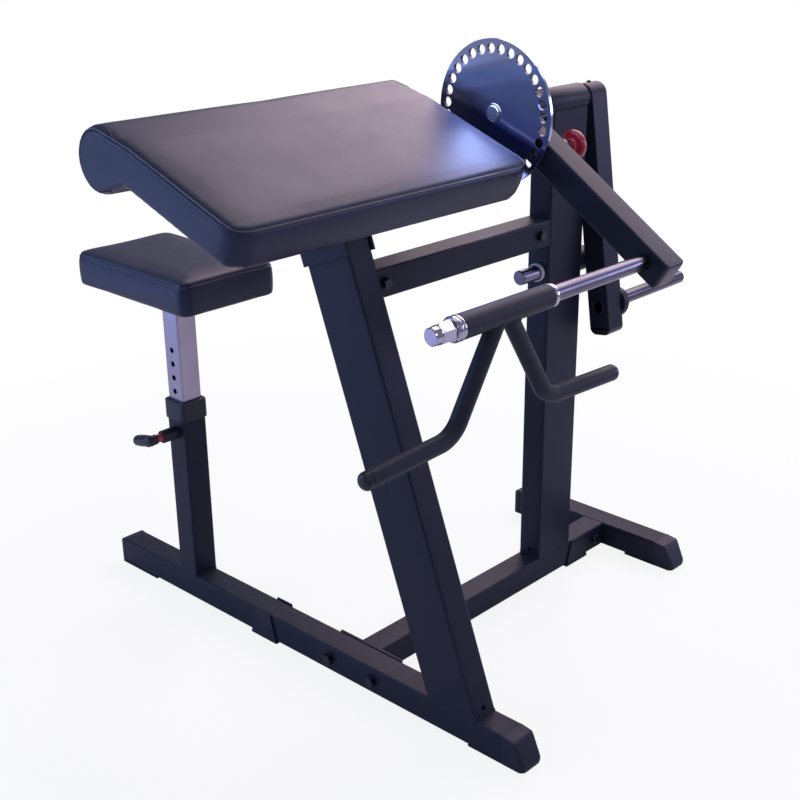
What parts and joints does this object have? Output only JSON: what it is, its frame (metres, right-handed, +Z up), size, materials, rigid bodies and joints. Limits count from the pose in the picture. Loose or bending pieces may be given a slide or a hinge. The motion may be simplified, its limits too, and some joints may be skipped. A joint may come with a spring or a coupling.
{
  "type": "biceps triceps machine",
  "caption": "Seated arm curl and extension machine with a sloped arm pad, a height-adjustable seat, an indexed lever with swinging handles and a plate-loaded weight arm.",
  "frame": {"origin": "on the floor, at the centre of the machine's bounding box seen from above", "axes": "+X the way the seated user faces, +Y from the arm pad out to the weight arm and its plate post, +Z up"},
  "size_m": [1.063, 1.18, 1.0629],
  "materials": {
    "frame_paint": "satin black powder coat with a faint blue cast",
    "pad_vinyl": "black upholstery vinyl with a fine grain",
    "foot_rubber": "matt black moulded rubber",
    "black_plastic": "satin black moulded plastic",
    "chrome_plate": "polished chrome",
    "ground_steel": "ground steel",
    "black_zinc": "black zinc plate",
    "red_plastic": "gloss red moulded plastic",
    "pale_nylon": "natural nylon",
    "plywood": "raw birch plywood"
  },
  "bodies": {
    "root": {"main_base_tube": "frame_paint", "rear_foot_cap": "foot_rubber", "front_foot_cap": "foot_rubber", "mid_foot_pad": "foot_rubber", "lower_cross_tube": "frame_paint", "cross_foot_pad": "foot_rubber", "flange_bolt_rear": "black_zinc", "flange_bolt_front": "black_zinc", "flange_nut_rear": "black_zinc", "flange_nut_front": "black_zinc", "stabiliser": "frame_paint", "stabiliser_bolt": "black_zinc", "stabiliser_front_cap": "foot_rubber", "stabiliser_rear_cap": "foot_rubber", "lean_post": "frame_paint", "pad_bracket": "frame_paint", "arm_pad_board": "plywood", "arm_pad": "pad_vinyl", "seat_post": "frame_paint", "seat_post_bushing": "black_plastic", "seat_pin_barrel": "black_plastic", "upright_post": "frame_paint", "upper_cross_tube": "frame_paint", "upper_bolt_right": "black_zinc", "upper_bolt_left": "black_zinc", "pivot_housing": "frame_paint", "pivot_bush_near": "pale_nylon", "pivot_bush_far": "pale_nylon", "stop_peg": "chrome_plate", "stop_peg_collar": "pale_nylon", "stop_bumper": "foot_rubber"},
    "seat": {"seat_tube": "chrome_plate", "seat_plate": "frame_paint", "seat_board": "plywood", "seat_cushion": "pad_vinyl"},
    "seat_pull_pin": {"seat_pin": "ground_steel", "seat_pin_spring": "ground_steel", "seat_pin_sleeve": "red_plastic", "seat_pin_knob": "black_plastic"},
    "weight_arm_body": {"pivot_shaft": "ground_steel", "selector_disc": "chrome_plate", "weight_arm": "frame_paint", "set_screw_1": "black_zinc", "set_screw_2": "black_zinc", "plate_post": "chrome_plate", "plate_stop": "foot_rubber"},
    "lever": {"lever_arm": "frame_paint", "lever_end_cap": "black_plastic", "selector_barrel": "black_zinc", "handle_bar": "chrome_plate", "bar_collar": "chrome_plate", "bar_washer": "chrome_plate", "bar_nut": "chrome_plate"},
    "selector_plunger": {"selector_pin": "ground_steel", "selector_spring": "ground_steel", "selector_knob": "red_plastic"},
    "handles": {"handle_frame": "frame_paint", "grip_end_cap_left": "black_plastic", "grip_end_cap_right": "black_plastic"}
  },
  "joints": [
    {"name": "seat_height", "type": "slide", "parent": "root", "child": "seat", "axis": [0, 0, 1], "range_m": [-0.159, 0.053]},
    {"name": "seat_pin_pull", "type": "slide", "parent": "root", "child": "seat_pull_pin", "axis": [0, -1, 0], "range_m": [-0.012, 0]},
    {"name": "arm_swing", "type": "hinge", "parent": "root", "child": "weight_arm_body", "pos_m": [0.1335, 0.3308, 0.9429], "axis": [0, -1, 0], "range_deg": [0, 342.9]},
    {"name": "lever_swing", "type": "hinge", "parent": "root", "child": "lever", "pos_m": [0.1335, 0.095, 0.9429], "axis": [0, -1, 0], "range_deg": [-23.23, 139.35]},
    {"name": "selector_pull", "type": "slide", "parent": "lever", "child": "selector_plunger", "axis": [0, 1, 0], "range_m": [-0.012, 0]},
    {"name": "handle_swing", "type": "hinge", "parent": "lever", "child": "handles", "pos_m": [0.44185, -0.278, 0.74388], "axis": [0, 1, 0], "continuous": true}
  ]
}
